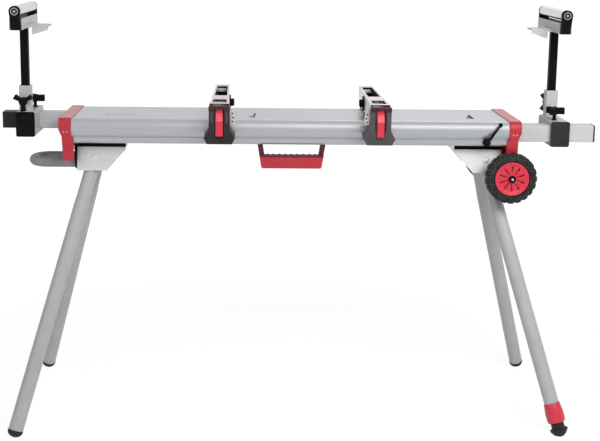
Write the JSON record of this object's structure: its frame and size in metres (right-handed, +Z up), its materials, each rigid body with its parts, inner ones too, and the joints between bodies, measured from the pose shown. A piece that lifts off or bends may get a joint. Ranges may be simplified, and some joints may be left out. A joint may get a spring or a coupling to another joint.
{
  "type": "miter saw stand",
  "caption": "Portable miter saw stand: aluminium box beam on folding splayed legs, with sliding arms, height-set work rollers, clamp-on saw brackets, wheels and handles.",
  "frame": {"origin": "on the floor, at the middle of the bounding box's underside", "axes": "+X along the beam towards the wheels, +Y away from the carry handle, +Z up"},
  "size_m": [1.518, 0.551, 1.0566],
  "materials": {
    "aluminium": "satin extruded",
    "zinc_steel": "bright zinc",
    "grey_paint": "grey powder coat",
    "pale_paint": "light grey powder coat",
    "black_paint": "black powder coat",
    "red_plastic": "moulded, semi-gloss",
    "black_plastic": "moulded, matt",
    "rubber": "moulded",
    "tyre": "moulded tread"
  },
  "bodies": {
    "frame": {"beam": "aluminium", "end_cap_left": "red_plastic", "end_cap_right": "red_plastic", "leg_bracket_left": "zinc_steel", "leg_bracket_right": "zinc_steel", "carry_handle": "red_plastic", "tow_handle": "grey_paint", "wheel_axle": "zinc_steel", "leg_pin_front_left": "zinc_steel", "leg_pin_rear_left": "zinc_steel", "leg_pin_front_right": "zinc_steel", "leg_pin_rear_right": "zinc_steel"},
    "leg_front_left": {"leg_front_left": "grey_paint", "foot_front_left": "rubber"},
    "leg_rear_left": {"leg_rear_left": "grey_paint", "foot_rear_left": "rubber"},
    "leg_front_right": {"leg_front_right": "grey_paint"},
    "leg_rear_right": {"leg_rear_right": "grey_paint", "foot_rear_right": "rubber"},
    "adjustable_foot": {"foot_front_right": "rubber"},
    "lock_collar": {"foot_lock_collar": "red_plastic"},
    "wheel_front": {"tyre_front": "tyre", "wheel_hub_front": "red_plastic"},
    "wheel_rear": {"tyre_rear": "tyre", "wheel_hub_rear": "red_plastic"},
    "arm_right": {"arm_right": "aluminium", "arm_end_cap_right": "black_plastic"},
    "carriage_right": {"carriage_right": "pale_paint", "carriage_post_cap_right": "black_plastic", "carriage_arm_cap_right": "black_plastic"},
    "post_right": {"post_right": "black_paint", "head_channel_right": "pale_paint", "roller_yoke_right": "black_plastic"},
    "roller_right": {"roller_right": "zinc_steel"},
    "stop_plate_right": {"stop_plate_right": "pale_paint"},
    "post_knob_right": {"post_knob_right": "black_plastic"},
    "carriage_knob_right": {"carriage_knob_right": "black_plastic"},
    "arm_lock_lever_right": {"arm_lock_lever_right": "black_plastic"},
    "arm_left": {"arm_left": "aluminium", "arm_end_cap_left": "black_plastic"},
    "carriage_left": {"carriage_left": "pale_paint", "carriage_post_cap_left": "black_plastic", "carriage_arm_cap_left": "black_plastic"},
    "post_left": {"post_left": "black_paint", "head_channel_left": "pale_paint", "roller_yoke_left": "black_plastic"},
    "roller_left": {"roller_left": "zinc_steel"},
    "stop_plate_left": {"stop_plate_left": "pale_paint"},
    "post_knob_left": {"post_knob_left": "black_plastic"},
    "carriage_knob_left": {"carriage_knob_left": "black_plastic"},
    "arm_lock_lever_left": {"arm_lock_lever_left": "black_plastic"},
    "saw_bracket_left": {"saw_rail_left": "aluminium", "bracket_clamp_left": "black_plastic"},
    "clamp_lever_left": {"clamp_lever_left": "red_plastic"},
    "bracket_knob_left": {"bracket_knob_left": "black_plastic"},
    "saw_bracket_right": {"saw_rail_right": "aluminium", "bracket_clamp_right": "black_plastic"},
    "clamp_lever_right": {"clamp_lever_right": "red_plastic"},
    "bracket_knob_right": {"bracket_knob_right": "black_plastic"}
  },
  "joints": [
    {"name": "leg_front_left_fold", "type": "hinge", "parent": "frame", "child": "leg_front_left", "pos_m": [-0.5065, -0.06, 0.665], "axis": [0, -0.9597, 0.2811], "range_deg": [0, 104.94]},
    {"name": "leg_rear_left_fold", "type": "hinge", "parent": "frame", "child": "leg_rear_left", "pos_m": [-0.5065, 0.06, 0.665], "axis": [0, -0.9597, -0.2811], "range_deg": [0, 104.94]},
    {"name": "leg_front_right_fold", "type": "hinge", "parent": "frame", "child": "leg_front_right", "pos_m": [0.4875, -0.06, 0.665], "axis": [0, 0.9597, -0.2811], "range_deg": [0, 95.94]},
    {"name": "leg_rear_right_fold", "type": "hinge", "parent": "frame", "child": "leg_rear_right", "pos_m": [0.4875, 0.06, 0.665], "axis": [0, 0.9597, 0.2811], "range_deg": [0, 95.94]},
    {"name": "foot_height", "type": "slide", "parent": "leg_front_right", "child": "adjustable_foot", "axis": [0.2578, -0.2716, -0.9272], "range_m": [0, 0.04]},
    {"name": "foot_collar_twist", "type": "hinge", "parent": "leg_front_right", "child": "lock_collar", "pos_m": [0.4875, -0.06, 0.665], "axis": [0.2578, -0.2716, -0.9272], "range_deg": [0, 90]},
    {"name": "wheel_front_turn", "type": "hinge", "parent": "frame", "child": "wheel_front", "pos_m": [0.5399, -0.1465, 0.638], "axis": [0, 1, 0], "continuous": true},
    {"name": "wheel_rear_turn", "type": "hinge", "parent": "frame", "child": "wheel_rear", "pos_m": [0.5399, 0.1465, 0.638], "axis": [0, 1, 0], "continuous": true},
    {"name": "arm_right_slide", "type": "slide", "parent": "frame", "child": "arm_right", "axis": [1, 0, 0], "range_m": [-0.03, 0.48]},
    {"name": "carriage_right_slide", "type": "slide", "parent": "arm_right", "child": "carriage_right", "axis": [1, 0, 0], "range_m": [-0.035, 0.045]},
    {"name": "post_right_height", "type": "slide", "parent": "carriage_right", "child": "post_right", "axis": [0, 0, 1], "range_m": [-0.045, 0.09]},
    {"name": "roller_right_turn", "type": "hinge", "parent": "post_right", "child": "roller_right", "pos_m": [0.6675, 0, 1.0418], "axis": [0, 1, 0], "continuous": true},
    {"name": "stop_plate_right_flip", "type": "hinge", "parent": "post_right", "child": "stop_plate_right", "pos_m": [0.6482, 0, 1.0006], "axis": [0, 1, 0], "range_deg": [0, 90]},
    {"name": "post_knob_right_turn", "type": "hinge", "parent": "carriage_right", "child": "post_knob_right", "pos_m": [0.6675, 0.0146, 0.806], "axis": [0, 1, 0], "range_deg": [0, 270]},
    {"name": "carriage_knob_right_turn", "type": "hinge", "parent": "carriage_right", "child": "carriage_knob_right", "pos_m": [0.6585, -0.08, 0.776], "axis": [0, 0, 1], "range_deg": [0, 270]},
    {"name": "arm_lock_lever_right_turn", "type": "hinge", "parent": "frame", "child": "arm_lock_lever_right", "pos_m": [0.4795, -0.125, 0.7235], "axis": [0, -1, 0], "range_deg": [0, 75]},
    {"name": "arm_left_slide", "type": "slide", "parent": "frame", "child": "arm_left", "axis": [-1, 0, 0], "range_m": [-0.03, 0.48]},
    {"name": "carriage_left_slide", "type": "slide", "parent": "arm_left", "child": "carriage_left", "axis": [-1, 0, 0], "range_m": [-0.035, 0.045]},
    {"name": "post_left_height", "type": "slide", "parent": "carriage_left", "child": "post_left", "axis": [0, 0, 1], "range_m": [-0.045, 0.09]},
    {"name": "roller_left_turn", "type": "hinge", "parent": "post_left", "child": "roller_left", "pos_m": [-0.6865, 0, 1.0365], "axis": [0, 1, 0], "continuous": true},
    {"name": "stop_plate_left_flip", "type": "hinge", "parent": "post_left", "child": "stop_plate_left", "pos_m": [-0.6672, 0, 0.9953], "axis": [0, -1, 0], "range_deg": [0, 90]},
    {"name": "post_knob_left_turn", "type": "hinge", "parent": "carriage_left", "child": "post_knob_left", "pos_m": [-0.6865, -0.0146, 0.806], "axis": [0, -1, 0], "range_deg": [0, 270]},
    {"name": "carriage_knob_left_turn", "type": "hinge", "parent": "carriage_left", "child": "carriage_knob_left", "pos_m": [-0.6775, 0.08, 0.776], "axis": [0, 0, 1], "range_deg": [0, 270]},
    {"name": "arm_lock_lever_left_turn", "type": "hinge", "parent": "frame", "child": "arm_lock_lever_left", "pos_m": [-0.4985, 0.125, 0.7235], "axis": [0, 1, 0], "range_deg": [0, 75]},
    {"name": "saw_bracket_left_slide", "type": "slide", "parent": "frame", "child": "saw_bracket_left", "axis": [1, 0, 0], "range_m": [-0.22, 0.1]},
    {"name": "clamp_lever_left_swing", "type": "hinge", "parent": "saw_bracket_left", "child": "clamp_lever_left", "pos_m": [-0.1885, -0.197, 0.8066], "axis": [-1, 0, 0], "range_deg": [0, 70]},
    {"name": "bracket_knob_left_turn", "type": "hinge", "parent": "saw_bracket_left", "child": "bracket_knob_left", "pos_m": [-0.17, 0.02, 0.8011], "axis": [1, 0, 0], "range_deg": [0, 270]},
    {"name": "saw_bracket_right_slide", "type": "slide", "parent": "frame", "child": "saw_bracket_right", "axis": [1, 0, 0], "range_m": [-0.1, 0.18]},
    {"name": "clamp_lever_right_swing", "type": "hinge", "parent": "saw_bracket_right", "child": "clamp_lever_right", "pos_m": [0.2035, -0.197, 0.8066], "axis": [-1, 0, 0], "range_deg": [0, 70]},
    {"name": "bracket_knob_right_turn", "type": "hinge", "parent": "saw_bracket_right", "child": "bracket_knob_right", "pos_m": [0.185, 0.02, 0.8011], "axis": [-1, 0, 0], "range_deg": [0, 270]}
  ]
}
